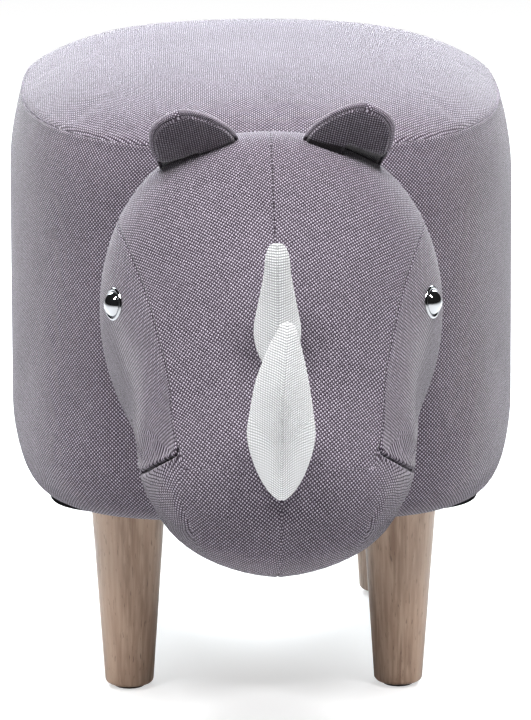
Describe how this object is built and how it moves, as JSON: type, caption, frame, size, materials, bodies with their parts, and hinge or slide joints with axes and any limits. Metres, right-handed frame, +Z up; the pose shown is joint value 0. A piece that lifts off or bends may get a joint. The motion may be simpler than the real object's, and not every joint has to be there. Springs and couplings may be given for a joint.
{
  "type": "animal footstool",
  "caption": "Small upholstered footstool shaped like a rhinoceros, with a domed seat, a stuffed head with knitted horns and tapered wooden legs.",
  "frame": {"origin": "centre of the bounding box's underside, on the floor that the glides stand on", "axes": "+Z up; the animal looks along -Y; +X is the animal's left side"},
  "size_m": [0.33, 0.6568, 0.4241],
  "materials": {
    "woven_cover": "coarse plain weave of light and dark threads, matt",
    "horn_knit": "fine off-white knit, matt",
    "beech": "pale beech under a satin lacquer",
    "chrome": "polished plating",
    "plywood": "bare plywood",
    "pine": "planed pine, bare",
    "fibreboard": "thin hardboard, bare",
    "foam": "open-cell upholstery foam, bare",
    "fibre_fill": "loose polyester fibre",
    "zinc_steel": "bright zinc plating",
    "dust_cloth": "black non-woven cloth",
    "nylon": "plain moulded nylon",
    "glide_plastic": "dark moulded plastic"
  },
  "bodies": {
    "root": {"base_board": "plywood", "dust_cover": "dust_cloth", "ear_left": "woven_cover", "ear_right": "woven_cover", "eye_left": "chrome", "eye_right": "chrome", "eye_washer_left": "nylon", "eye_washer_right": "nylon", "frame_post_front_left": "pine", "frame_post_front_right": "pine", "frame_post_rear_left": "pine", "frame_post_rear_right": "pine", "glide_front_left": "glide_plastic", "glide_front_right": "glide_plastic", "glide_rear_left": "glide_plastic", "glide_rear_right": "glide_plastic", "hanger_bolt_front_left": "zinc_steel", "hanger_bolt_front_right": "zinc_steel", "hanger_bolt_rear_left": "zinc_steel", "hanger_bolt_rear_right": "zinc_steel", "head_cheek_left": "woven_cover", "head_cheek_right": "woven_cover", "head_face_left": "woven_cover", "head_face_right": "woven_cover", "head_jaw": "woven_cover", "head_stuffing": "fibre_fill", "horn_front": "horn_knit", "horn_rear": "horn_knit", "leg_front_left": "beech", "leg_front_right": "beech", "leg_rear_left": "beech", "leg_rear_right": "beech", "post_screw_high_front_left": "zinc_steel", "post_screw_high_front_right": "zinc_steel", "post_screw_high_rear_left": "zinc_steel", "post_screw_high_rear_right": "zinc_steel", "post_screw_low_front_left": "zinc_steel", "post_screw_low_front_right": "zinc_steel", "post_screw_low_rear_left": "zinc_steel", "post_screw_low_rear_right": "zinc_steel", "seat_board": "plywood", "seat_cover": "woven_cover", "seat_foam": "foam", "side_cover": "woven_cover", "side_foam_front": "foam", "side_foam_left": "foam", "side_foam_rear": "foam", "side_foam_right": "foam", "tail": "woven_cover", "tee_nut_front_left": "zinc_steel", "tee_nut_front_right": "zinc_steel", "tee_nut_rear_left": "zinc_steel", "tee_nut_rear_right": "zinc_steel", "wall_board": "fibreboard"}
  },
  "joints": []
}
